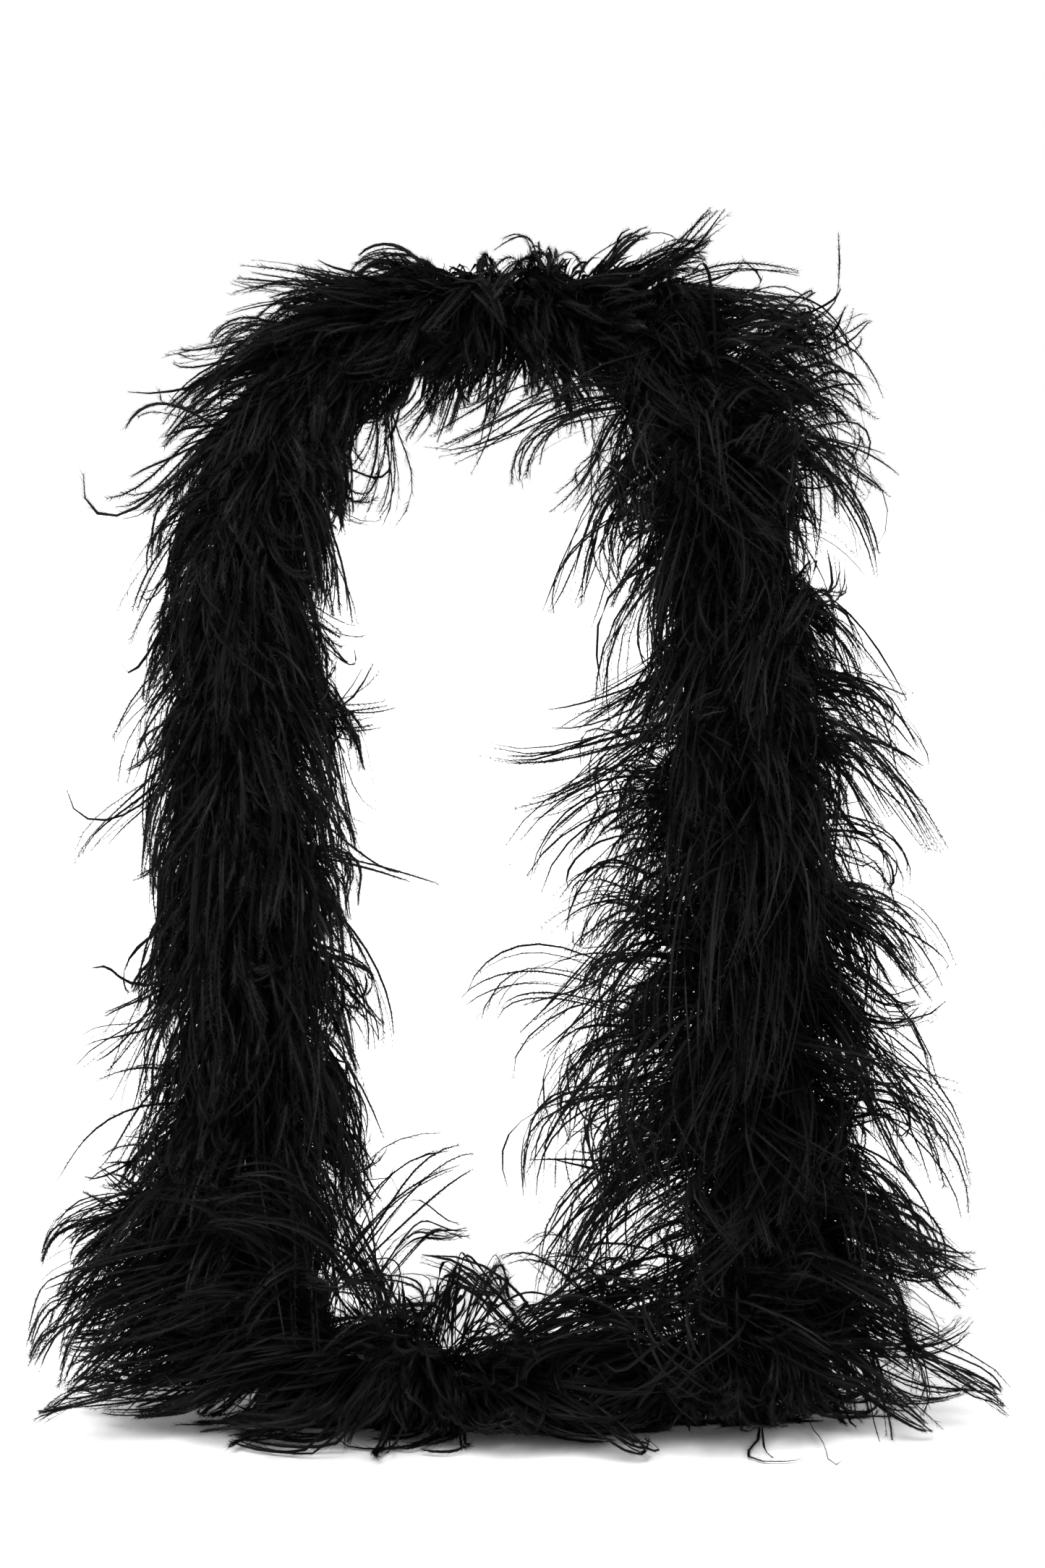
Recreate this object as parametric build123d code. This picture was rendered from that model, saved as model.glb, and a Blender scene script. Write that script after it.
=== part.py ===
from build123d import *
import math
import os

# A feather boa, draped behind a neck with both ends brought together on a table in front.
# Millimetres. +X is to the wearer's left, +Y is behind the wearer, +Z is up.
# The origin is where the nape of the neck bears on the front of the boa.

# ---- Driving dimensions ----

CORD_RADIUS = 3.0          # twisted cotton core cord
BARE_END = 18.0            # cord left bare of plumes at each end, for the whipping
PLUME_COUNT = 14           # plumes sewn one after another along the cord

STRIP_COUNT = 3            # quill strips round the cord in each plume
STRIP_WIDTH = 2.6
STRIP_THICKNESS = 1.1
STRIP_CLEARANCE = 0.3      # between the cord and a strip
STRIP_END_GAP = 0.8        # from a strip's end to its plume's end
STRIP_STEP = 40.0          # degrees that the strips step round the cord from plume to plume

THREAD_RADIUS = 0.7        # sewing thread of the lap wraps and whippings
LAP_TURNS = 5
WHIPPING_TURNS = 9
WHIPPING_IN = 9.0          # from the cord's end to the middle of its whipping

LOOP_CORD_RADIUS = 1.1
LOOP_LEG = 16.0            # tucked back under the whipping, along the cord
LOOP_REACH = 20.0          # beyond the cord's end
LOOP_OFFSET = CORD_RADIUS + STRIP_CLEARANCE + LOOP_CORD_RADIUS

FLUE_BORE_RADIUS = 6.6     # the flues start outside the strips and their wraps
FLUE_WALL = 0.36           # of a plume's radius: the dense zone of flue tips
ROOT_WALL = 7.0            # the flues at a plume's two ends, out from the cord
STATIONS = 5               # outlines along one plume

FLOOR_Z = -689.0           # the table
RUN_SHARE = 0.45           # of the shorter run, taken by each rounded corner

# The cord's route, from the end on the wearer's right to the end on the left.
ROUTE = [
    (34, -162, -652), (-25, -160, -646), (-86, -152, -638), (-136, -136, -622), (-164, -113, -584),
    (-160, -96, -530), (-153, -84, -470), (-153, -76, -410), (-157, -71, -348), (-159, -67, -284),
    (-163, -60, -222), (-156, -51, -160), (-147, -30, -104), (-128, -2, -56), (-96, 22, -22),
    (-52, 38, -4), (0, 44, 0), (48, 40, -3), (90, 24, -20), (122, 0, -54),
    (140, -28, -104), (142, -50, -160), (142, -60, -212), (152, -66, -262), (160, -72, -320),
    (161, -77, -380), (158, -83, -440), (157, -89, -500), (168, -100, -552), (176, -117, -600),
    (160, -138, -634), (116, -150, -646), (72, -140, -651),
]

# The plumes' girth: distance along the cord, radius, and how far the flues' middle
# leans from the cord in X, Y and Z.
GIRTH = [
    (0, 30, 0, 0, 0), (60, 46, 0, 0, 0), (130, 58, -4, -4, 0), (205, 76, -30, -8, 2),
    (270, 68, -10, -2, 0), (350, 58, 0, 0, 0), (450, 51, 2, 0, 0), (600, 50, 0, 0, 0),
    (780, 50, -4, 0, 0), (850, 46, 0, 0, -4), (915, 45, 0, 0, -4), (985, 48, 0, 0, -2),
    (1060, 62, 4, 0, 0), (1120, 78, -6, 0, 0), (1180, 66, -6, 0, 0), (1232, 45, 0, 0, 0),
    (1290, 64, 2, 0, 0), (1350, 82, 0, 0, 0), (1450, 88, 0, 0, 0), (1540, 87, 12, 0, 0),
    (1615, 84, 38, -8, 4), (1685, 62, 20, -8, 6), (1770, 34, 0, 0, 0),
]


# ---- The cord's path and places along it ----

def corner_radii(points):
    """The radius of each rounded corner: as large as its two runs allow."""
    radii = []
    for before, corner, after in zip(points, points[1:], points[2:]):
        run_in = Vector(*corner) - Vector(*before)
        run_out = Vector(*after) - Vector(*corner)
        half_turn = math.radians(run_in.get_angle(run_out)) / 2
        radii.append(RUN_SHARE * min(run_in.length, run_out.length) / math.tan(half_turn))
    return radii


RADII = corner_radii(ROUTE)
CORD_PATH = FilletPolyline(*ROUTE, radius=RADII)
CORD_LENGTH = CORD_PATH.length
PLUME_LENGTH = (CORD_LENGTH - 2 * BARE_END) / PLUME_COUNT


def frame_at(distance):
    """The plane across the cord at a distance along it, its Y side kept towards +Y."""
    share = distance / CORD_LENGTH
    along = CORD_PATH.tangent_at(share)
    side = Vector(0, 1, 0).cross(along).normalized()
    return Plane(origin=CORD_PATH.position_at(share), x_dir=side, z_dir=along)


def girth_at(distance):
    """The plume radius and the lean of its middle at a distance along the cord."""
    for low, high in zip(GIRTH, GIRTH[1:]):
        if distance <= high[0]:
            share = (distance - low[0]) / (high[0] - low[0])
            radius, *lean = [a + share * (b - a) for a, b in zip(low[1:], high[1:])]
            return radius, Vector(*lean)
    return GIRTH[-1][1], Vector(*GIRTH[-1][2:])


def plume_span(number):
    """Where a plume starts and ends along the cord; the first is number 1."""
    start = BARE_END + (number - 1) * PLUME_LENGTH
    return start, start + PLUME_LENGTH


# ---- Pieces on the cord ----

def core_cord():
    profile = frame_at(0) * Circle(CORD_RADIUS)
    return sweep(profile, path=CORD_PATH)


def quill_strips(number):
    """A plume's split quill, pared to strips that lie round the cord."""
    start, end = plume_span(number)
    start += STRIP_END_GAP
    end -= STRIP_END_GAP
    span = CORD_PATH.trim(start / CORD_LENGTH, end / CORD_LENGTH)
    offset = CORD_RADIUS + STRIP_CLEARANCE + STRIP_THICKNESS / 2
    strips = []
    for index in range(STRIP_COUNT):
        turn = number * STRIP_STEP + index * 360 / STRIP_COUNT
        place = frame_at(start) * Rot(0, 0, turn) * Pos(offset, 0, 0)
        strips.append(sweep(place * Rectangle(STRIP_THICKNESS, STRIP_WIDTH), path=span))
    return Compound(strips)


def tube_along(outline_scale, distances):
    """A closed body through one round outline at each distance along the cord."""
    outlines = []
    for distance in distances:
        radius, lean = girth_at(distance)
        across = frame_at(distance)
        lean -= across.z_dir * lean.dot(across.z_dir)
        middle = Plane(origin=across.origin + lean, x_dir=across.x_dir, z_dir=across.z_dir)
        outlines.append(middle * Circle(outline_scale * radius))
    return loft(outlines, ruled=True)


def spaced(low, high, count):
    return [low + (high - low) * i / (count - 1) for i in range(count)]


def plume(number):
    """The flues of one plume: open between their roots' walls, and flat where they rest."""
    start, end = plume_span(number)
    body = tube_along(1.0, spaced(start, end, STATIONS))
    body -= tube_along(1.0 - FLUE_WALL, spaced(start + ROOT_WALL, end - ROOT_WALL, STATIONS))
    for distance in (start + ROOT_WALL / 2, end - ROOT_WALL / 2):
        body -= frame_at(distance) * Cylinder(FLUE_BORE_RADIUS, 2 * ROOT_WALL)
    above_table = Pos(0, 0, FLOOR_Z + 500) * Box(1000, 1000, 1000)
    if body.bounding_box().min.Z < FLOOR_Z:
        body &= above_table
    return body


def thread_winding(inner_radius, turns):
    """Turns of thread laid side by side round +Z, centred on the origin."""
    pitch = 2 * THREAD_RADIUS
    half = turns * pitch / 2
    outer_radius = inner_radius + THREAD_RADIUS
    outline = [Line((inner_radius, half), (inner_radius, -half)),
               Line((inner_radius, -half), (outer_radius, -half))]
    for turn in range(turns):
        low = -half + turn * pitch
        outline.append(ThreePointArc((outer_radius, low),
                                     (outer_radius + THREAD_RADIUS, low + THREAD_RADIUS),
                                     (outer_radius, low + pitch)))
    outline.append(Line((outer_radius, half), (inner_radius, half)))
    profile = Plane.XZ * make_face(outline)
    return revolve(profile, Axis.Z)


def lap_wrap(number):
    """The thread wound where one plume's strips end and the next plume's begin."""
    strip_reach = CORD_RADIUS + STRIP_CLEARANCE + STRIP_THICKNESS
    inner = math.hypot(strip_reach, STRIP_WIDTH / 2) + 0.1
    return frame_at(plume_span(number)[1]) * thread_winding(inner, LAP_TURNS)


def end_frame(at_start):
    """The plane across a cord end, facing out along the cord."""
    frame = frame_at(0 if at_start else CORD_LENGTH)
    if at_start:
        return Plane(origin=frame.origin, x_dir=frame.x_dir, z_dir=-frame.z_dir)
    return frame


def end_loop(at_start):
    """A thin cord loop whose two legs lie along the end of the core cord."""
    leg, belly = LOOP_OFFSET, 1.5 * LOOP_OFFSET
    low, high, tip = 0.45 * LOOP_REACH, 0.8 * LOOP_REACH, 1.25 * LOOP_REACH
    route = [(leg, 0, -LOOP_LEG), (leg, 0, low), (belly, 0, high), (0, 0, tip),
             (-belly, 0, high), (-leg, 0, low), (-leg, 0, -LOOP_LEG)]
    path = FilletPolyline(*route, radius=corner_radii(route))
    start = Plane(origin=route[0], z_dir=(0, 0, 1))
    return end_frame(at_start) * sweep(start * Circle(LOOP_CORD_RADIUS), path=path)


def end_whipping(at_start):
    """The long winding that holds a loop's legs to the cord's end."""
    inner = LOOP_OFFSET + LOOP_CORD_RADIUS + 0.1
    return end_frame(at_start) * Pos(0, 0, -WHIPPING_IN) * thread_winding(inner, WHIPPING_TURNS)


# ---- The assembly ----

def assembly():
    nodes = {"core_cord": core_cord()}
    for number in range(1, PLUME_COUNT + 1):
        nodes[f"plume_{number:02d}"] = plume(number)
        nodes[f"quill_strips_{number:02d}"] = quill_strips(number)
    for number in range(1, PLUME_COUNT):
        nodes[f"lap_wrap_{number:02d}"] = lap_wrap(number)
    for side, at_start in (("right", True), ("left", False)):
        nodes[f"end_loop_{side}"] = end_loop(at_start)
        nodes[f"end_whipping_{side}"] = end_whipping(at_start)
    return nodes


def main():
    os.makedirs("parts", exist_ok=True)
    for name, solid in assembly().items():
        export_step(solid, f"parts/{name}.step")
    swept = math.pi * CORD_RADIUS ** 2 * CORD_LENGTH
    print("corner radii", [round(r) for r in RADII])
    print(f"cord {CORD_LENGTH:.0f} mm long, plume {PLUME_LENGTH:.1f} mm")
    print(f"cord volume over section times length {core_cord().volume / swept:.4f}")


main()
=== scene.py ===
import math

import bpy
import numpy as np
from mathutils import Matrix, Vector


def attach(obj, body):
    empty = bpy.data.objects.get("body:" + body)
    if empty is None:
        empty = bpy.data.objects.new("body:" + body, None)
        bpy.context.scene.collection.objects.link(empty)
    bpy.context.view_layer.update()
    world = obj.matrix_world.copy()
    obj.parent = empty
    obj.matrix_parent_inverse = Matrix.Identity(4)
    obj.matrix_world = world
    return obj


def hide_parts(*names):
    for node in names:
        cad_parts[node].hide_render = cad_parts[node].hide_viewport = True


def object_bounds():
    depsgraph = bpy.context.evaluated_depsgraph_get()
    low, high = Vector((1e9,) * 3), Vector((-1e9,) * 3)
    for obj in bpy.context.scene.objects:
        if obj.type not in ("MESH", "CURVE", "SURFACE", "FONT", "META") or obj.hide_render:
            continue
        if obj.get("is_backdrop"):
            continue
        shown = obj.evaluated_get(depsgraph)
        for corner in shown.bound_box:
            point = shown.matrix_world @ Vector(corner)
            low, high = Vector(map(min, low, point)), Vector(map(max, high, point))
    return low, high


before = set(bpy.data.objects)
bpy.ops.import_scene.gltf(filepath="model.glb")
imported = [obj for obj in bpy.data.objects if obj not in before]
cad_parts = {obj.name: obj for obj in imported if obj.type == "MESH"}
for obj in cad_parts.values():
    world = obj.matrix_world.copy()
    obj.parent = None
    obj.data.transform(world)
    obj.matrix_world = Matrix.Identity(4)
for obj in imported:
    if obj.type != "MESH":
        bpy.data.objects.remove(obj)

# A black ostrich feather boa, hung behind a neck, with its ends together on a table.
# Metres. +X is to the wearer's left, +Y is behind the wearer, +Z is up.

CAD_LOW, CAD_HIGH = (list(corner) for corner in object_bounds())
BODY = "root"
TABLE_Z = CAD_LOW[2]
PLUME_COUNT = 14
CORD_DIAMETER = 0.006
BARE_END = 0.018               # cord without plumes at each end

# The most that flues stand proud of the CAD box: 3% of each side and 10 mm, less 1 mm to spare,
# and less 4 mm for the stems, which leaves their barbules room.
PROUD = np.array([0.03 * (high - low) + 0.009 for low, high in zip(CAD_LOW, CAD_HIGH)])
STEM_ROOM = 0.004
ROOM_LOW = np.array(CAD_LOW) - PROUD + STEM_ROOM
ROOM_HIGH = np.array(CAD_HIGH) + PROUD - STEM_ROOM
ON_TABLE = 0.0003              # the least height of any flue over the table
SOFT_EDGE = 0.030              # flues crowd together over this depth inside the room's faces

# The cord's route, from the end on the wearer's right to the end on the left.
ROUTE = [
    (0.034, -0.162, -0.652), (-0.025, -0.160, -0.646), (-0.086, -0.152, -0.638),
    (-0.136, -0.136, -0.622), (-0.164, -0.113, -0.584), (-0.160, -0.096, -0.530),
    (-0.153, -0.084, -0.470), (-0.153, -0.076, -0.410), (-0.157, -0.071, -0.348),
    (-0.159, -0.067, -0.284), (-0.163, -0.060, -0.222), (-0.156, -0.051, -0.160),
    (-0.147, -0.030, -0.104), (-0.128, -0.002, -0.056), (-0.096, 0.022, -0.022),
    (-0.052, 0.038, -0.004), (0.000, 0.044, 0.000), (0.048, 0.040, -0.003),
    (0.090, 0.024, -0.020), (0.122, 0.000, -0.054), (0.140, -0.028, -0.104),
    (0.142, -0.050, -0.160), (0.142, -0.060, -0.212), (0.152, -0.066, -0.262),
    (0.160, -0.072, -0.320), (0.161, -0.077, -0.380), (0.158, -0.083, -0.440),
    (0.157, -0.089, -0.500), (0.168, -0.100, -0.552), (0.176, -0.117, -0.600),
    (0.160, -0.138, -0.634), (0.116, -0.150, -0.646), (0.072, -0.140, -0.651),
]

# How the flues lie along the boa: the distance along the cord; how far they reach from it
# outside the loop, inside the loop, and in front; how far they are swept, and which way; the
# power of that sweep, higher where they fan out before they fall; and the power of their
# reach, higher where they turn along the boa soon after they leave the cord.
LIE = [
    (0.000, 0.034, 0.116, 0.054, 0.110, (1.0, -0.2, -0.3), 1.5, 1.9),
    (0.050, 0.034, 0.130, 0.056, 0.090, (0.2, -0.3, -0.8), 1.7, 2.0),
    (0.110, 0.040, 0.156, 0.058, 0.105, (-0.6, -0.2, -0.6), 1.7, 2.0),
    (0.160, 0.056, 0.128, 0.064, 0.110, (-0.9, -0.1, -0.4), 1.5, 2.0),
    (0.215, 0.080, 0.088, 0.072, 0.096, (-0.9, -0.1, -0.3), 1.4, 2.1),
    (0.280, 0.078, 0.074, 0.068, 0.088, (-0.3, -0.1, -1.0), 1.4, 2.3),
    (0.350, 0.066, 0.080, 0.060, 0.096, (0.0, 0.0, -1.0), 1.3, 2.6),
    (0.440, 0.060, 0.078, 0.058, 0.098, (0.0, 0.0, -1.0), 1.3, 2.6),
    (0.560, 0.054, 0.080, 0.056, 0.098, (0.0, 0.0, -1.0), 1.3, 2.6),
    (0.630, 0.052, 0.052, 0.054, 0.096, (0.0, 0.0, -1.0), 1.3, 2.6),
    (0.700, 0.064, 0.044, 0.050, 0.092, (0.0, 0.0, -1.0), 1.3, 2.4),
    (0.760, 0.076, 0.056, 0.052, 0.082, (-0.3, 0.0, -1.0), 1.4, 2.0),
    (0.810, 0.040, 0.070, 0.048, 0.078, (-0.7, -0.1, -0.8), 1.5, 1.9),
    (0.870, 0.046, 0.074, 0.044, 0.072, (-0.9, -0.1, -0.3), 1.5, 1.9),
    (0.940, 0.058, 0.054, 0.044, 0.056, (0.0, -0.3, -0.8), 1.8, 1.8),
    (0.990, 0.050, 0.036, 0.046, 0.060, (0.8, -0.1, -0.2), 1.6, 1.8),
    (1.040, 0.080, 0.036, 0.064, 0.074, (0.6, -0.2, -0.5), 1.8, 1.8),
    (1.085, 0.126, 0.156, 0.080, 0.098, (0.2, 0.0, -0.9), 2.0, 1.9),
    (1.140, 0.106, 0.128, 0.072, 0.112, (0.0, 0.0, -1.0), 2.0, 1.9),
    (1.185, 0.052, 0.026, 0.052, 0.108, (0.0, 0.0, -1.0), 1.9, 2.0),
    (1.235, 0.080, 0.036, 0.060, 0.108, (0.0, 0.0, -1.0), 1.9, 1.9),
    (1.300, 0.094, 0.058, 0.078, 0.116, (0.0, 0.0, -1.0), 2.1, 1.9),
    (1.375, 0.052, 0.156, 0.084, 0.120, (0.0, 0.0, -1.0), 2.1, 1.9),
    (1.460, 0.080, 0.130, 0.084, 0.120, (0.0, 0.0, -1.0), 2.1, 1.9),
    (1.540, 0.100, 0.160, 0.084, 0.115, (0.0, -0.1, -0.9), 2.1, 1.9),
    (1.610, 0.106, 0.154, 0.066, 0.100, (0.2, -0.1, -0.9), 1.8, 1.9),
    (1.665, 0.080, 0.128, 0.058, 0.105, (0.7, -0.2, -0.5), 1.6, 2.0),
    (1.720, 0.038, 0.110, 0.056, 0.095, (0.1, -0.3, -0.8), 1.6, 2.0),
    (1.780, 0.034, 0.110, 0.054, 0.110, (-1.0, -0.2, -0.3), 1.5, 1.9),
]
TWIST_PITCH = 0.150            # the boa is twisted, so long and short flues go round it
# How much longer and shorter they are, at distances along the cord.
TWIST = [(0.00, 0.06), (1.05, 0.06), (1.12, 0.20), (1.58, 0.20), (1.66, 0.06)]
# How far flues rise before they fall, at distances along the cord.
LIFT = [(0.00, 0.0), (1.02, 0.0), (1.10, 0.30), (1.56, 0.30), (1.63, 0.0)]
# How far the boa lies in a heap, at distances along the cord.
HEAP = [(0.00, 1.0), (0.14, 1.0), (0.27, 0.0), (1.58, 0.0), (1.68, 1.0)]


# ---- The camera ----

LENS, SENSOR_WIDTH = 68.7, 36.0        # millimetres
CAMERA_PLACE = (0.015, -1.900, -0.110)
CAMERA_DIP = 5.98                      # degrees below level


def add_camera():
    data = bpy.data.cameras.new("camera")
    data.lens = LENS
    data.sensor_width = SENSOR_WIDTH
    camera = bpy.data.objects.new("camera", data)
    camera.location = CAMERA_PLACE
    camera.rotation_euler = (math.radians(90 - CAMERA_DIP), 0, 0)
    bpy.context.scene.collection.objects.link(camera)
    bpy.context.scene.camera = camera


# ---- The cord's line, and places along it ----

def spline_points(route):
    """Closely spaced points of the smooth line that has the route as its control points."""
    curve = bpy.data.curves.new("route", "CURVE")
    curve.dimensions = "3D"
    curve.resolution_u = 24
    spline = curve.splines.new("NURBS")
    spline.points.add(len(route) - 1)
    for point, place in zip(spline.points, route):
        point.co = (*place, 1.0)
    spline.order_u = 3
    spline.use_endpoint_u = True
    holder = bpy.data.objects.new("route", curve)
    mesh = bpy.data.meshes.new_from_object(holder)
    points = np.array([tuple(v.co) for v in mesh.vertices])
    bpy.data.objects.remove(holder)
    bpy.data.curves.remove(curve)
    bpy.data.meshes.remove(mesh)
    return points


def unit(vectors):
    return vectors / np.maximum(np.linalg.norm(vectors, axis=-1, keepdims=True), 1e-12)


def column(values):
    return np.asarray(values)[..., None]


class Line:
    """The cord's centreline, with a frame across it at any distance along it."""

    def __init__(self, points):
        steps = np.linalg.norm(np.diff(points, axis=0), axis=1)
        self.points = points
        self.distance = np.concatenate([[0], np.cumsum(steps)])
        self.length = self.distance[-1]
        self.direction = unit(np.gradient(points, self.distance, axis=0))

    def read(self, distance, rows):
        return np.stack([np.interp(distance, self.distance, row) for row in rows.T], -1)

    def at(self, distance):
        """Places, and the axes there: along the cord, into the loop, and towards the back."""
        along = unit(self.read(distance, self.direction))
        inward = unit(np.cross((0, 1, 0), along))
        return self.read(distance, self.points), along, inward, np.cross(along, inward)


def lie_at(distance):
    """The values of LIE at each distance."""
    knots = [row[0] for row in LIE]
    flat = np.array([[*row[1:5], *row[5], *row[6:]] for row in LIE])
    outer, inner, front, swept, x, y, z, fall, rise = (np.interp(distance, knots, c) for c in flat.T)
    return outer, inner, front, swept, unit(np.stack([x, y, z], -1)), fall, rise


SWIRLS = 14
SWIRL_PITCH = (0.035, 0.110)   # along the cord, from one swirl to the next
SWIRL_TURNS = 3                # the most times that a swirl goes round the cord
SWIRL = 0.15
SWIRL_SEED = 77


def swirl(distance, angle):
    """A lean that changes slowly along and round the boa, so that neighbouring tufts lie alike."""
    rng = np.random.default_rng(SWIRL_SEED)
    pitch = rng.uniform(*SWIRL_PITCH, SWIRLS)
    turns = rng.integers(-SWIRL_TURNS, SWIRL_TURNS + 1, SWIRLS)
    start = rng.uniform(0, 2 * np.pi, SWIRLS)
    push = rng.normal(0, SWIRL, (SWIRLS, 3))
    phase = 2 * np.pi * distance[:, None] / pitch + turns * angle[:, None] + start
    return np.sin(phase) @ push


def crowd(places):
    """Places eased back from the faces of the room that the flues have."""
    middle = (ROOM_LOW + ROOM_HIGH) / 2
    reach = (ROOM_HIGH - ROOM_LOW) / 2
    offset = np.abs(places - middle)
    past = np.maximum(offset - (reach - SOFT_EDGE), 0)
    eased = np.minimum(offset, reach - SOFT_EDGE) + SOFT_EDGE * np.tanh(past / SOFT_EDGE)
    return middle + np.sign(places - middle) * eased


# ---- Meshes ----

def new_piece(name, vertices, faces, material, uv=None, tone=None):
    """A mesh piece from arrays of vertices and triangles."""
    mesh = bpy.data.meshes.new(name)
    mesh.vertices.add(len(vertices))
    mesh.vertices.foreach_set("co", vertices.astype(np.float32).ravel())
    mesh.loops.add(faces.size)
    mesh.loops.foreach_set("vertex_index", faces.astype(np.int32).ravel())
    mesh.polygons.add(len(faces))
    mesh.polygons.foreach_set("loop_start", np.arange(0, faces.size, 3, dtype=np.int32))
    mesh.polygons.foreach_set("loop_total", np.full(len(faces), 3, dtype=np.int32))
    mesh.polygons.foreach_set("use_smooth", np.ones(len(faces), dtype=bool))
    if uv is not None:
        layer = mesh.uv_layers.new(name="OFBake")
        layer.data.foreach_set("uv", uv[faces.ravel()].astype(np.float32).ravel())
    if tone is not None:
        attribute = mesh.attributes.new("tone", "FLOAT", "POINT")
        attribute.data.foreach_set("value", tone.astype(np.float32))
    mesh.update(calc_edges=True)
    mesh.materials.append(material)
    piece = bpy.data.objects.new(name, mesh)
    bpy.context.scene.collection.objects.link(piece)
    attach(piece, BODY)
    return piece


# ---- The flues ----

PLUME_SEED = 500

# Long flues grow in tufts, which are spread along and round each plume.
TUFTS, FLUES_IN_TUFT = 116, 9
OPEN_PLUMES = range(9, 14)     # these hang open, so they have fewer and larger tufts
OPEN_TUFTS, OPEN_FLUES_IN_TUFT = 96, 12
ALONG = 0.005                  # between a tuft's flues, along the cord
ROUND, TUFT_ROUND = 0.16, 0.15  # radians round the cord, for a flue and for its tuft
LIE_BLUR = 0.016               # so that one lie passes into the next over some length
FLUE_STEPS = 11
FLUE_ROOT = 0.0052             # from the cord's middle, on the quill strips

# Tufts, and the flues in them, differ from the lie: times its reach and its sweep.
TUFT_REACH, TUFT_SWEEP = (0.72, 1.08), (0.5, 1.3)
FLUE_REACH, FLUE_SWEEP = (0.74, 1.06), (0.7, 1.25)
TUFT_LEAN, FLUE_LEAN = 0.15, 0.10
TUFT_SWAY, FLUE_SWAY = 0.24, 0.12
SWIRL_SWAY = 0.8               # of the swirl's lean, in the sway
SWAY_LEVEL = 0.9               # the power of the fall at which tufts don't sway

# Flues wave along their length and hook at their tips. The angles are radians.
TUFT_WAVE, FLUE_WAVE = 0.50, 0.28
WAVE_TURNS = (0.6, 1.7)        # half turns of the wave
WAVE_AXIS = 0.3                # between the axes of a tuft's flues
TUFT_HOOK, FLUE_HOOK = 0.60, 0.30

# Flues cling together: a few in a sprig, and more loosely all of a tuft.
SPRIG = 3
SPRIG_DRAWN = (0.55, 0.97)
DRAWN, OPEN_DRAWN = (0.0, 0.45), (0.05, 0.40)
DRAWN_POWER = 1.2

# Some tufts stand out of the lie.
STRAY_SHARE = 0.05
STRAY_REACH, STRAY_SWEEP = (0.90, 1.25), (0.0, 0.8)
STRAY_TUFT_LEAN = 2.4          # times the other tufts' lean

# Some flues of a tuft stand alone, long and hooked.
LONER_SHARE = 0.020
LONER_REACH = (1.00, 1.28)
LONER_HOOK, LONER_LEAN = 1.1, 0.40

# A few long flues stand out by themselves.
STRAYS_IN_PLUME = 5            # the places where they do
STRAY_FLUES = 2                # at each of those places
STRAY_BEYOND = (0.008, 0.038)  # how far they reach beyond the flues round them
STRAY_BEND = 0.75              # of their reach, where they turn over
STRAY_DROOP = (0.015, 0.065)   # how far their tips follow the lie
STRAY_RISE = 0.018             # how far they lift against the lie before they follow it
STRAY_LENGTH = (0.75, 1.0)
STRAY_LEAN = 0.28
STRAY_SPREAD = 0.0035
STRAY_CURL = 0.018
STRAY_CLEARANCE = 0.0015       # over the table

# In the heap flues curl more, lie more ways and cling more, and their barbules lie closer.
HEAP_WAVE, HEAP_SWAY = 1.3, 0.7
HEAP_TURNS = 0.35              # of the waves along a flue, that the heap takes off
HEAP_ALIKE = 0.6               # of the difference between a tuft's waves, that it takes off
HEAP_BOLD = 0.22
HEAP_SOFT, HEAP_CLOSE = 0.35, 0.35
HEAP_CLUMP = 0.55

# The heap's front draws back under itself towards the table.
TUCK = 0.95
TUCK_BELOW = 0.075             # where the cord is lower than this over the table
CHAMFER = 1.9                  # how steeply the front draws back
TUCK_BACK = 0.030              # how far behind the cord it is at the table
ROUNDNESS = (0.70, 1.30)
LOOSE_SHARE = 0.15             # of the tufts, whose broad locks lie out over the table

# Where flues meet the table.
CLEARANCE = (0.001, 0.006)
SLIDE, BOLD_SLIDE = 0.35, 0.9  # of a flue's stride, kept as it slides
UNDER = 1.15                   # times the cord's height: how far flues reach straight down
LEAST_DOWN = 0.3               # flues that point down less than this keep their reach

# At the cord's two ends flues lean out over its end.
TASSEL = 0.065                 # from each end
OVER_END, END_REACH = 2.0, 0.4

# Broad soft locks, whose barbules cling, and fine flues.
BOLD_SHARE = 0.10
BOLD_WIDTH = (0.0014, 0.0022)
BOLD_WAVE, BOLD_HOOK, BOLD_REACH = 0.8, 0.6, 0.05  # more than a fine flue's, by this share
FLUE_WIDTH = (0.0009, 0.0015)  # across the barbules that cling to a stem
FLUE_TURN = 0.9                # radians that a flue's blade turns on its way
KEEL = 0.24                    # of the width: how far the stem stands above the vane's edges
RAGGED = (0.7, 1.25)           # times the width, along a vane's edge
STEM_START, STEM_FULL = 0.35, 0.25  # the width at the root, and where it is full

# Barbules that stand free, on each side of a flue.
BARBULES, OPEN_BARBULES = 48, 46
BARBULE_FROM, BARBULE_TO = 0.26, 0.995  # of the flue's length
BARBULE_HALF_WIDTH = 0.00044
BARBULE_LENGTH = (0.0034, 0.0066)
BARBULE_TAPER = 0.40           # shorter by this share at the flue's tip
BARBULE_UNEVEN = (0.6, 1.2)
BARBULE_ROOT = 0.3             # of the stem's width, out from its middle
BARBULE_TILT = 0.45            # out of the blade's plane
BOLD_BARBULES = 1.3            # times the others' length
SPREAD, BOLD_SPREAD = (14, 38), (11, 25)  # degrees between a barbule and its stem
SPREAD_UNEVEN = (0.7, 1.3)

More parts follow.
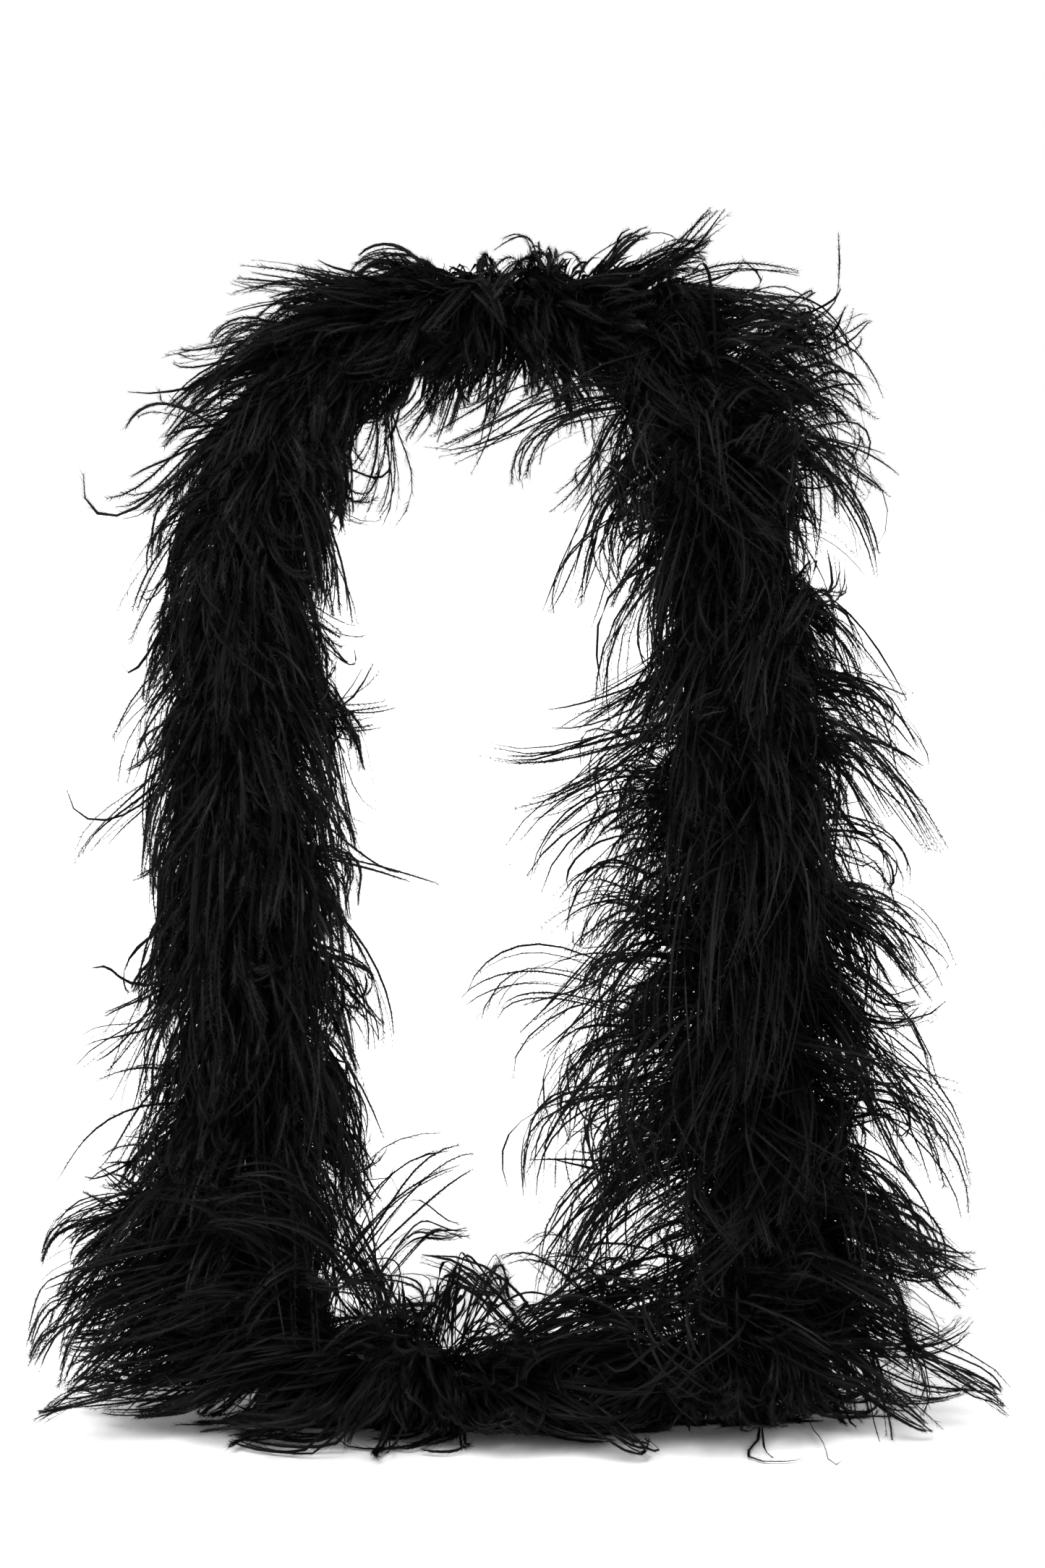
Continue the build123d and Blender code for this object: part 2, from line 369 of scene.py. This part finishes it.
# Down: short wide flues near the cord.
DOWN_COUNT, DOWN_IN_TUFT = 1000, 5
DOWN_STEPS = 4
DOWN_WIDTH = 0.0028
DOWN_REACH = 0.55              # of the long flues' reach
DOWN_MOST = 0.046
DOWN_HIDDEN = 0.35             # shorter by this share where the boa lies in a heap
DOWN_DRAWN = (0.0, 0.3)
DOWN_TURN = 0.8
DOWN_ENDS = (0.15, 0.97)       # of a half wave: its width at its root and its tip

# The tone that the material reads, from 0, dark, to 1, pale.
TONE, TUFT_TONE, FLUE_TONE = 0.2, 0.4, 0.2
PAINTED_HIGHLIGHT_SHARE, PAINTED_HIGHLIGHT_TONE = 0.04, 0.5  # of the flues, that are painted paler as painted highlights, and how much paler
DOWN_TONE = 0.15
ROOT_TONE = 0.4                # of a flue's tone, at its root

# Where the corners across a stem and a barbule lie in a flue's cell of the UV map.
VANE_ACROSS, RIBBON_ACROSS = (0.15, 0.5, 0.85), (0.2, 0.8)
BARBULE_ACROSS, BARBULE_TIP_ACROSS = 0.4, (0.5, 0.4)
CELL_EDGE = 0.08


def draw_together(lines, size, amount):
    """Every so many lines drawn towards their own middle, more and more towards their tips."""
    share = np.linspace(0, 1, lines.shape[1])
    grouped = lines.reshape(-1, size, *lines.shape[1:])
    pull = amount.reshape(-1, size, 1, 1) * (share ** DRAWN_POWER)[:, None]
    return (grouped + (grouped.mean(1, keepdims=True) - grouped) * pull).reshape(lines.shape)


def tuck_under(lines, place, front):
    """Where the boa lies on the table, its front rounds under instead of spreading over it."""
    height = (place[:, 2] - TABLE_Z)[:, None]
    drop = np.clip((place[:, None, 2] - lines[..., 2]) / height, 0, 1)
    ahead = place[:, None, 1] - lines[..., 1]
    most = front[:, None] * np.minimum(CHAMFER * (1 - drop), 1) - TUCK_BACK * drop ** 2
    past = np.maximum(ahead - most, 0) * (height < TUCK_BELOW)
    tucked = lines.copy()
    tucked[..., 1] += TUCK * past
    return tucked


def round_reach(outer, inner, front, angle):
    """The lie's reach at an angle round the cord."""
    side = np.where(np.cos(angle) > 0, inner, outer)
    return np.hypot(side * np.cos(angle), front * np.sin(angle))


def stray_lines(rng, line, start, span, steps):
    """Long flues that stand out by themselves, at a few places round a plume."""
    count = STRAYS_IN_PLUME
    distance = start + span * (np.arange(count) + rng.random(count)) / count
    angle = rng.uniform(0, 2 * np.pi, count)
    place, along, inward, back = line.at(distance)
    outer, inner, front, swept, sweep, fall, rise = lie_at(distance)
    reach = round_reach(outer, inner, front, angle) + rng.uniform(*STRAY_BEYOND, count)
    radial = inward * column(np.cos(angle)) + back * column(np.sin(angle))
    away = unit(radial + rng.normal(0, STRAY_LEAN, (count, 3)))
    root = place + radial * FLUE_ROOT
    bend = place + away * column(STRAY_BEND * reach) - sweep * STRAY_RISE
    tip = place + away * column(reach) + sweep * column(rng.uniform(*STRAY_DROOP, count))
    curl = rng.normal(0, STRAY_CURL, (count, 3))
    lines = []
    for _ in range(STRAY_FLUES):
        near = bend + rng.normal(0, 2 * STRAY_SPREAD, (count, 3))
        far = tip + rng.normal(0, STRAY_SPREAD, (count, 3))
        share = rng.uniform(*STRAY_LENGTH, (count, 1, 1)) * np.linspace(0, 1, steps + 1)[:, None]
        path = root[:, None] * (1 - share) ** 2 + near[:, None] * 2 * share * (1 - share)
        lines.append(path + far[:, None] * share ** 2 + curl[:, None] * share ** 3)
    lines = np.concatenate(lines)
    lines[..., 2] = np.maximum(lines[..., 2], TABLE_Z + STRAY_CLEARANCE)
    return crowd(lines)


def grow(roots, move_at, low, slide, steps):
    """Lines that leave their roots move by move, and slide on where they meet the table."""
    lines = np.empty((len(roots), steps + 1, 3))
    lines[:, 0] = roots
    for k in range(steps):
        move = move_at((k + 0.5) / steps) / steps
        there = lines[:, k] + move
        under = there[:, 2] < low
        if under.any():
            stride = np.linalg.norm(move[under], axis=1)
            flat = move[under] * (1, 1, 0)
            there[under] = lines[under, k] + unit(flat + 1e-6) * column(slide[under] * stride)
            there[under, 2] = low[under]
        lines[:, k + 1] = there
    return lines


def flue_lines(rng, line, start, span, tufts, in_tuft, steps, scale, most, clumping, bold_share):
    """Flues' lines, tuft by tuft: out from the cord, swept by their lie, and kept off the table."""
    # Where the tufts and their flues leave the cord.
    count = tufts * in_tuft
    owner = np.repeat(np.arange(tufts), in_tuft)
    stray = rng.random(tufts) < STRAY_SHARE
    spot = start + span * (np.arange(tufts) + rng.random(tufts)) / tufts
    turn = rng.permutation(tufts) * 2 * np.pi / tufts + rng.uniform(-TUFT_ROUND, TUFT_ROUND, tufts)
    distance = np.clip(spot[owner] + rng.normal(0, ALONG, count), start, start + span)
    angle = turn[owner] + rng.normal(0, ROUND, count)
    place, along, inward, back = line.at(distance)
    radial = inward * column(np.cos(angle)) + back * column(np.sin(angle))

    # How they lie there.
    blur = rng.normal(0, LIE_BLUR, tufts)[owner]
    outer, inner, front, swept, sweep, fall, rise = lie_at(distance + blur)
    heap = np.interp(distance, *np.array(HEAP).T)
    twist = np.interp(distance, *np.array(TWIST).T)
    lift = np.interp(distance, *np.array(LIFT).T)
    reach = np.minimum(scale * round_reach(outer, inner, front, angle), most)
    height = place[:, 2] - TABLE_Z
    reach = np.minimum(reach, UNDER * height / np.maximum(-radial[:, 2], LEAST_DOWN))
    reach = reach * (1 + twist * np.cos(angle - 2 * np.pi * distance / TWIST_PITCH))

    # How each tuft, and each flue in it, differs from that.
    tuft_reach = np.where(stray, rng.uniform(*STRAY_REACH, tufts), rng.uniform(*TUFT_REACH, tufts))
    tuft_sweep = np.where(stray, rng.uniform(*STRAY_SWEEP, tufts), rng.uniform(*TUFT_SWEEP, tufts))
    wilder = np.where(stray, STRAY_TUFT_LEAN, 1.0)[:, None]
    tuft_lean = swirl(spot, turn) + rng.normal(0, TUFT_LEAN, (tufts, 3)) * wilder
    tuft_sway = SWIRL_SWAY * swirl(spot + 1, turn) + rng.normal(0, TUFT_SWAY, (tufts, 3))
    reach = reach * tuft_reach[owner] * rng.uniform(*FLUE_REACH, count)
    swept = scale * swept * tuft_sweep[owner] * rng.uniform(*FLUE_SWEEP, count)
    over_end = OVER_END * (np.clip((distance - line.length) / TASSEL + 1, 0, 1)
                           - np.clip(1 - distance / TASSEL, 0, 1))
    reach = reach * (1 + END_REACH * np.abs(over_end))
    flue_lean = rng.normal(0, FLUE_LEAN, (count, 3))
    outward = unit(radial + along * column(over_end) + tuft_lean[owner] + flue_lean)
    sway = tuft_sway[owner] * column(fall - SWAY_LEVEL + HEAP_SWAY * heap)
    sweep = unit(sweep + sway + rng.normal(0, FLUE_SWAY, (count, 3)))
    tuft_axis = unit(rng.normal(size=(tufts, 3)))[owner]
    wave_axis = unit(tuft_axis + rng.normal(0, WAVE_AXIS, (count, 3)))
    wave = (rng.normal(0, TUFT_WAVE, tufts)[owner]
            + rng.normal(0, FLUE_WAVE, count) * (1 - HEAP_ALIKE * heap))
    wave_turns = rng.uniform(*WAVE_TURNS, tufts)[owner] * np.pi
    wave_start = rng.uniform(0, 2 * np.pi, tufts)[owner]
    hook = rng.normal(0, TUFT_HOOK, tufts)[owner] + rng.normal(0, FLUE_HOOK, count)

    # The broad ones, the heap's, and the loners.
    bold = rng.random(count) < bold_share
    loner = rng.random(count) < LONER_SHARE * (scale == 1.0)
    wave = wave * (1 + BOLD_WAVE * bold)
    hook = hook * (1 + BOLD_HOOK * bold)
    reach = reach * (1 + BOLD_REACH * bold)
    wave = wave * (1 + HEAP_WAVE * heap)
    wave_turns = wave_turns * (1 - HEAP_TURNS * heap)
    reach = np.where(loner, reach * rng.uniform(*LONER_REACH, count), reach)
    hook = np.where(loner, hook + rng.normal(0, LONER_HOOK, count), hook)
    outward = unit(outward + column(loner) * rng.normal(0, LONER_LEAN, (count, 3)))
    outward = outward + column(lift) * (0, 0, 1)
    bold = bold | loner

    def move_at(share):
        move = outward * column(reach * rise * (1 - share) ** (rise - 1))
        move = move + sweep * column(swept * fall * share ** (fall - 1))
        bend = wave * share * np.sin(wave_start + wave_turns * share) + hook * share ** 3
        return move * column(np.cos(bend)) + np.cross(wave_axis, move) * column(np.sin(bend))

    low = TABLE_Z + rng.uniform(*CLEARANCE, count)
    lines = grow(place + radial * FLUE_ROOT, move_at, low, np.where(bold, BOLD_SLIDE, SLIDE), steps)

    # Tucked under in the heap, and drawn together.
    roundness = rng.uniform(*ROUNDNESS, tufts)[owner]
    loose = stray[owner] | (bold & (rng.random(tufts) < LOOSE_SHARE)[owner])
    lines = np.where(loose[:, None, None], lines, tuck_under(lines, place, front * roundness))
    if in_tuft % SPRIG == 0:
        cling = np.repeat(rng.uniform(*SPRIG_DRAWN, count // SPRIG), SPRIG)
        lines = draw_together(lines, SPRIG, cling * ~loner)
    clump = rng.uniform(*clumping, tufts)[owner]
    lines = draw_together(lines, in_tuft, (clump + HEAP_CLUMP * heap * (1 - clump)) * ~loner)
    return crowd(lines), owner, bold


def blades(rng, lines, twist):
    """Headings along the lines, and the two axes across each, which turn a little on the way."""
    count, stations = lines.shape[:2]
    heading = unit(np.gradient(lines, axis=1))
    helper = np.where(np.abs(heading[..., 2:3]) > 0.9, (1.0, 0, 0), (0, 0, 1.0))
    side = unit(np.cross(heading, helper))
    other = np.cross(heading, side)
    start = rng.uniform(0, 2 * np.pi, (count, 1))
    turn = start + np.linspace(0, 1, stations) * rng.normal(0, twist, (count, 1))
    blade = side * column(np.cos(turn)) + other * column(np.sin(turn))
    return heading, blade, np.cross(heading, blade)


def stem_profile(share):
    """A stem's width: narrow at its root, full soon after, and rounded off at its tip."""
    rooted = STEM_START + (1 - STEM_START) * np.minimum(share / STEM_FULL, 1)
    return rooted * np.sqrt(np.maximum(1.03 - share ** 6, 0))


def vanes(rng, lines, blade, edge, width):
    """Stems with clinging barbules, as keeled blades: vertices, triangles, shares of the length."""
    count, stations = lines.shape[:2]
    share = np.linspace(0, 1, stations)
    half = 0.5 * column(width[:, None] * stem_profile(share))
    ragged = rng.uniform(*RAGGED, (2, count, stations, 1))
    strands = [lines - blade * half * ragged[0], lines + edge * 2 * KEEL * half,
               lines + blade * half * ragged[1]]
    vertices = np.stack(strands, 2).reshape(-1, 3)
    base = (np.arange(count)[:, None, None] * stations + np.arange(stations - 1)[None, :, None]) * 3
    low = base + np.arange(2)
    faces = np.concatenate([np.stack([low, low + 1, low + 4], -1).reshape(-1, 3),
                            np.stack([low, low + 4, low + 3], -1).reshape(-1, 3)])
    return vertices, faces, np.tile(np.repeat(share, 3), count)


def barbules(rng, lines, heading, blade, edge, width, reach, spread, per_side, sign):
    """Fine triangles along one side of each stem, swept towards its tip."""
    count, stations = lines.shape[:2]
    spots = (np.arange(per_side) + rng.uniform(0.1, 0.9, (count, per_side))) / per_side
    share = BARBULE_FROM + (BARBULE_TO - BARBULE_FROM) * spots
    k = (share * (stations - 1)).astype(int)
    f = column(share * (stations - 1) - k)
    rows = np.arange(count)[:, None]

    def between(values):
        return values[rows, k] * (1 - f) + values[rows, k + 1] * f

    centre = between(lines)
    ahead = unit(between(heading))
    tilt = rng.normal(0, BARBULE_TILT, (count, per_side, 1))
    out = unit(between(blade)) * sign + between(edge) * tilt
    centre = centre + out * column(BARBULE_ROOT * width[:, None] * (1 - 0.6 * share))
    angle = np.radians(column(spread[:, None] * rng.uniform(*SPREAD_UNEVEN, (count, per_side))))
    uneven = rng.uniform(*BARBULE_UNEVEN, (count, per_side))
    size = column(reach[:, None] * (1.05 - BARBULE_TAPER * share) * uneven)
    tip = centre + size * unit(ahead * np.cos(angle) + out * np.sin(angle))
    half = ahead * BARBULE_HALF_WIDTH
    vertices = np.stack([centre - half, centre + half, tip], 2).reshape(-1, 3)
    return vertices, np.arange(len(vertices)).reshape(-1, 3), np.repeat(share.ravel(), 3)


def ribbons(lines, blade, width, profile):
    """Flat flues: vertices, triangles, and each vertex's share of the length."""
    count, stations = lines.shape[:2]
    share = np.linspace(0, 1, stations)
    half = 0.5 * column(width[:, None] * profile)
    vertices = np.stack([lines - blade * half, lines + blade * half], 2).reshape(-1, 3)
    base = (np.arange(count)[:, None] * stations + np.arange(stations - 1)) * 2
    faces = np.concatenate([np.stack([base, base + 1, base + 3], -1).reshape(-1, 3),
                            np.stack([base, base + 3, base + 2], -1).reshape(-1, 3)])
    return vertices, faces, np.tile(np.repeat(share, 2), count)


# A part is a tuple: vertices, triangles, and for each vertex its share of the flue's length,
# its flue's number, and where it lies across the flue's cell of the UV map.

def long_parts(rng, lines, bold, heap, per_side):
    """The parts of the long flues: their stems, and the barbules on both sides."""
    count, stations = lines.shape[:2]
    flues = np.arange(count)
    heading, blade, edge = blades(rng, lines, FLUE_TURN)
    width = np.where(bold, rng.uniform(*BOLD_WIDTH, count), rng.uniform(*FLUE_WIDTH, count))
    broad = vanes(rng, lines[bold], blade[bold], edge[bold], width[bold])
    parts = [(*broad, np.repeat(flues[bold], len(VANE_ACROSS) * stations),
              np.tile(VANE_ACROSS, bold.sum() * stations))]
    fine = ~bold
    profile = stem_profile(np.linspace(0, 1, stations))
    narrow = ribbons(lines[fine], blade[fine], width[fine], profile)
    parts.append((*narrow, np.repeat(flues[fine], len(RIBBON_ACROSS) * stations),
                  np.tile(RIBBON_ACROSS, fine.sum() * stations)))
    reach = rng.uniform(*BARBULE_LENGTH, count) * (1 + HEAP_SOFT * heap)
    reach = np.where(bold, BOLD_BARBULES, 1) * reach
    spread = np.where(bold, rng.uniform(*BOLD_SPREAD, count), rng.uniform(*SPREAD, count))
    spread = spread * (1 - HEAP_CLOSE * heap)
    middle, lean = BARBULE_TIP_ACROSS
    for sign in (1, -1):
        side = barbules(rng, lines, heading, blade, edge, width, reach, spread, per_side, sign)
        across = [BARBULE_ACROSS, BARBULE_ACROSS, middle + lean * sign]
        parts.append((*side, np.repeat(flues, 3 * per_side), np.tile(across, count * per_side)))
    return parts


def down_part(rng, line, start, span, heap, first):
    """The part of a plume's down, its flues numbered from the first, and how many they are."""
    lines = flue_lines(rng, line, start, span, DOWN_COUNT // DOWN_IN_TUFT, DOWN_IN_TUFT, DOWN_STEPS,
                       DOWN_REACH, DOWN_MOST * (1 - DOWN_HIDDEN * heap), DOWN_DRAWN, 0.0)[0]
    count, stations = lines.shape[:2]
    blade = blades(rng, lines, DOWN_TURN)[1]
    profile = np.sin(np.pi * np.linspace(*DOWN_ENDS, stations))
    vertices, faces, share = ribbons(lines, blade, np.full(count, DOWN_WIDTH), profile)
    flue = first + np.repeat(np.arange(count), len(RIBBON_ACROSS) * stations)
    return (vertices, faces, 0.5 * share, flue, np.tile(RIBBON_ACROSS, count * stations)), count


def join(parts):
    """All parts as one, kept inside the room that flues have and above the table."""
    offset = np.cumsum([0] + [len(part[0]) for part in parts[:-1]])
    faces = np.concatenate([part[1] + shift for part, shift in zip(parts, offset)])
    vertices, share, flue, across = (np.concatenate([part[i] for part in parts]) for i in (0, 2, 3, 4))
    vertices = np.clip(vertices, ROOM_LOW - STEM_ROOM, ROOM_HIGH + STEM_ROOM)
    vertices[:, 2] = np.maximum(vertices[:, 2], TABLE_Z + ON_TABLE)
    return vertices, faces, share, flue, across


def plume(line, number, material):
    """One plume: down near the cord, and long flues with barbules in tufts over it."""
    rng = np.random.default_rng(PLUME_SEED + number)
    span = (line.length - 2 * BARE_END) / PLUME_COUNT
    start = BARE_END + (number - 1) * span
    heap = np.interp(start + span / 2, *np.array(HEAP).T)
    tufts, in_tuft, drawn, per_side = TUFTS, FLUES_IN_TUFT, DRAWN, BARBULES
    if number in OPEN_PLUMES:
        tufts, in_tuft, drawn, per_side = OPEN_TUFTS, OPEN_FLUES_IN_TUFT, OPEN_DRAWN, OPEN_BARBULES
    lines, owner, bold = flue_lines(rng, line, start, span, tufts, in_tuft, FLUE_STEPS, 1.0, 1.0,
                                    drawn, BOLD_SHARE + HEAP_BOLD * heap)
    strays = stray_lines(rng, line, start, span, FLUE_STEPS)
    lines = np.concatenate([lines, strays])
    owner = np.concatenate([owner, np.zeros(len(strays), int)])
    bold = np.concatenate([bold, np.arange(len(strays)) < STRAYS_IN_PLUME])
    count = len(lines)
    parts = long_parts(rng, lines, bold, heap, per_side)
    down, down_count = down_part(rng, line, start, span, heap, count)
    vertices, faces, share, flue, across = join([*parts, down])

    cells = math.ceil(math.sqrt(count + down_count))
    inside = CELL_EDGE + (1 - 2 * CELL_EDGE) * share
    uv = np.stack([(flue % cells + inside) / cells, (flue // cells + across) / cells], -1)
    tuft_tone = rng.uniform(0, 1, tufts)
    # A few flues get a painted highlight: their tone is raised, so they read paler and glossier.
    painted_highlight = rng.random(count) < PAINTED_HIGHLIGHT_SHARE
    flue_tone = TONE + TUFT_TONE * tuft_tone[owner] + FLUE_TONE * rng.random(count) + PAINTED_HIGHLIGHT_TONE * painted_highlight
    flue_tone = np.concatenate([flue_tone, DOWN_TONE * rng.random(down_count)])
    tone = flue_tone[flue] * (ROOT_TONE + (1 - ROOT_TONE) * share)
    piece = new_piece(f"flues_{number:02d}", vertices, faces, material, uv, tone)
    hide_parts(f"plume_{number:02d}")


# ---- The core cord ----

CORD_SIDES = 24
CORD_STRANDS = 3
CORD_LAY = 0.016               # along the cord, for one turn of a strand
CORD_STEP = 0.002
STRAND_DEPTH = 0.16            # of the cord's radius, between two strands


def core_cord(line, material):
    """Three strands laid together, as one twisted lobed tube, closed at both ends."""
    stations = round(line.length / CORD_STEP)
    distance = np.linspace(0, line.length, stations + 1)
    place, along, inward, back = line.at(distance)
    turn = np.arange(CORD_SIDES) * 2 * np.pi / CORD_SIDES
    lobe = np.abs(np.cos(CORD_STRANDS / 2 * (turn - column(distance) * 2 * np.pi / CORD_LAY)))
    radius = column(CORD_DIAMETER / 2 * (1 - STRAND_DEPTH * (1 - lobe)))
    outward = inward[:, None] * column(np.cos(turn)) + back[:, None] * column(np.sin(turn))
    wall = (place[:, None] + radius * outward).reshape(-1, 3)
    vertices = np.concatenate([wall, place[:1], place[-1:]])
    near = np.arange(CORD_SIDES)
    far = (near + 1) % CORD_SIDES
    base = np.arange(stations)[:, None] * CORD_SIDES
    first, last = len(wall), len(wall) + 1
    top = stations * CORD_SIDES
    faces = np.concatenate([
        np.stack([base + near, base + far, base + CORD_SIDES + far], -1).reshape(-1, 3),
        np.stack([base + near, base + CORD_SIDES + far, base + CORD_SIDES + near], -1).reshape(-1, 3),
        np.stack([far, near, np.full(CORD_SIDES, first)], -1),
        np.stack([top + near, top + far, np.full(CORD_SIDES, last)], -1)])
    cord = new_piece("cord", vertices, faces, material)
    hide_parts("core_cord")


# ---- Materials ----

def principled(name, base, roughness, ior):
    material = bpy.data.materials.new(name)
    material.use_nodes = True
    shader = material.node_tree.nodes["Principled BSDF"]
    shader.inputs["Base Color"].default_value = (*base, 1)
    shader.inputs["Roughness"].default_value = roughness
    shader.inputs["IOR"].default_value = ior
    return material


GRAIN_DETAIL = 5


def grain(material, scale, stretch=(1, 1, 1)):
    """Noise in the object's own space, stretched along its axes."""
    nodes, links = material.node_tree.nodes, material.node_tree.links
    where = nodes.new("ShaderNodeTexCoord")
    mapping = nodes.new("ShaderNodeMapping")
    mapping.inputs["Scale"].default_value = stretch
    noise = nodes.new("ShaderNodeTexNoise")
    noise.inputs["Scale"].default_value = scale
    noise.inputs["Detail"].default_value = GRAIN_DETAIL
    links.new(where.outputs["Object"], mapping.inputs["Vector"])
    links.new(mapping.outputs["Vector"], noise.inputs["Vector"])
    return noise.outputs["Fac"]


def ramp(material, value, low, high, start=0.3, stop=0.7):
    nodes, links = material.node_tree.nodes, material.node_tree.links
    colours = nodes.new("ShaderNodeValToRGB")
    colours.color_ramp.elements[0].color = (*low, 1)
    colours.color_ramp.elements[1].color = (*high, 1)
    colours.color_ramp.elements[0].position = start
    colours.color_ramp.elements[1].position = stop
    links.new(value, colours.inputs["Fac"])
    links.new(colours.outputs["Color"], nodes["Principled BSDF"].inputs["Base Color"])


def roughness(material, value, low, high):
    nodes, links = material.node_tree.nodes, material.node_tree.links
    rough = nodes.new("ShaderNodeMapRange")
    rough.inputs["To Min"].default_value = low
    rough.inputs["To Max"].default_value = high
    links.new(value, rough.inputs["Value"])
    links.new(rough.outputs["Result"], nodes["Principled BSDF"].inputs["Roughness"])


def bump(material, value, height):
    nodes, links = material.node_tree.nodes, material.node_tree.links
    relief = nodes.new("ShaderNodeBump")
    relief.inputs["Distance"].default_value = height
    links.new(value, relief.inputs["Height"])
    links.new(relief.outputs["Normal"], nodes["Principled BSDF"].inputs["Normal"])


FLUE_DARK, FLUE_PALE = (0.0016, 0.0015, 0.0016), (0.0036, 0.0033, 0.0035)
FLUE_GRAIN, FLUE_MOTTLE = 120, 0.25  # the noise's scale, and its part in the tone


def flue_material():
    """Dyed black flues: tufts that differ in tone and gloss, paler towards their tips; a few have
    painted highlights.
    """
    material = principled("flue_black", (0.004, 0.004, 0.004), 0.5, 1.14)
    nodes, links = material.node_tree.nodes, material.node_tree.links
    tone = nodes.new("ShaderNodeAttribute")
    tone.attribute_name = "tone"
    mixed = nodes.new("ShaderNodeMath")
    mixed.operation = "MULTIPLY_ADD"
    mixed.inputs[1].default_value = FLUE_MOTTLE
    links.new(grain(material, FLUE_GRAIN), mixed.inputs[0])
    links.new(tone.outputs["Fac"], mixed.inputs[2])
    ramp(material, mixed.outputs["Value"], FLUE_DARK, FLUE_PALE, 0.1, 1.0)
    roughness(material, tone.outputs["Fac"], 0.62, 0.40)
    return material


def twine_material(name, low, high, fibre_scale, relief):
    """Dyed cotton: mottled fibres with a dull surface."""
    material = principled(name, high, 0.75, 1.35)
    ramp(material, grain(material, fibre_scale), low, high)
    roughness(material, grain(material, fibre_scale / 3), 0.62, 0.9)
    bump(material, grain(material, fibre_scale * 2, (1, 1, 0.35)), relief)
    return material


def quill_material():
    """Split quill: horn with long streaks, dyed dark, half glossy."""
    material = principled("quill_horn", (0.02, 0.016, 0.014), 0.4, 1.5)
    streaks = grain(material, 260, (1, 1, 0.08))
    ramp(material, streaks, (0.006, 0.005, 0.005), (0.030, 0.022, 0.018))
    roughness(material, grain(material, 90), 0.28, 0.55)
    bump(material, streaks, 0.00015)
    return material


def table_material():
    """A matt white table with a faint grain."""
    material = principled("table_white", (0.82, 0.82, 0.82), 0.8, 1.2)
    speckle = grain(material, 400)
    ramp(material, speckle, (0.80, 0.80, 0.80), (0.84, 0.84, 0.84))
    roughness(material, speckle, 0.75, 0.85)
    return material


def finish_nodes(finishes):
    """Gives the carried-over CAD nodes their materials, by the start of the node's name."""
    for name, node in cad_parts.items():
        for start, material in finishes.items():
            if name.startswith(start):
                node.data.materials.clear()
                node.data.materials.append(material)


# ---- The table and the light ----

TABLE_HALF = 40.0
TABLE_GAP = 0.0005             # under the boa


def add_table():
    mesh = bpy.data.meshes.new("table")
    z = TABLE_Z - TABLE_GAP
    corners = [(-TABLE_HALF, -TABLE_HALF, z), (TABLE_HALF, -TABLE_HALF, z),
               (TABLE_HALF, TABLE_HALF, z), (-TABLE_HALF, TABLE_HALF, z)]
    mesh.from_pydata(corners, [], [(0, 1, 2, 3)])
    table = bpy.data.objects.new("table", mesh)
    bpy.context.scene.collection.objects.link(table)
    mesh.materials.append(table_material())
    table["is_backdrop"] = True


# Each sun's name, the direction that it shines from, its strength, and its spread in degrees.
SUNS = (("key", (-0.50, -0.90, 1.20), 3.2, 26), ("fill", (0.9, -1.0, 0.70), 1.6, 30))
SOFTBOX = Vector((-0.10, -1.10, 0.55))
SOFTBOX_AIM = Vector((0.0, 0.0, -0.10))
SOFTBOX_POWER, SOFTBOX_SIZE = 13, 0.9


def add_light():
    world = bpy.data.worlds.new("studio")
    bpy.context.scene.world = world
    world.use_nodes = True
    world.node_tree.nodes["Background"].inputs["Color"].default_value = (1, 1, 1, 1)
    world.node_tree.nodes["Background"].inputs["Strength"].default_value = 1.0
    for name, towards, strength, spread in SUNS:
        data = bpy.data.lights.new(name, "SUN")
        data.energy = strength
        data.angle = math.radians(spread)
        aim_lamp(data, towards)
    data = bpy.data.lights.new("softbox", "AREA")
    data.energy = SOFTBOX_POWER
    data.size = SOFTBOX_SIZE
    aim_lamp(data, SOFTBOX - SOFTBOX_AIM).location = SOFTBOX


def aim_lamp(data, towards):
    """A lamp that shines from a direction."""
    lamp = bpy.data.objects.new(data.name, data)
    lamp.rotation_euler = Vector(towards).to_track_quat("Z", "Y").to_euler()
    bpy.context.scene.collection.objects.link(lamp)
    return lamp


add_camera()
line = Line(spline_points(ROUTE))
cotton = twine_material("cord_cotton", (0.005, 0.005, 0.0055), (0.018, 0.017, 0.018), 900, 0.0002)
core_cord(line, cotton)
flue_black = flue_material()
for number in range(1, PLUME_COUNT + 1):
    plume(line, number, flue_black)
thread = twine_material("thread_cotton", (0.0045, 0.0045, 0.005), (0.014, 0.013, 0.014), 1400, 0.0001)
finish_nodes({"quill_strips": quill_material(), "lap_wrap": thread, "end_whipping": thread,
              "end_loop": cotton})
add_table()
add_light()
bpy.context.scene.view_settings.view_transform = "Standard"
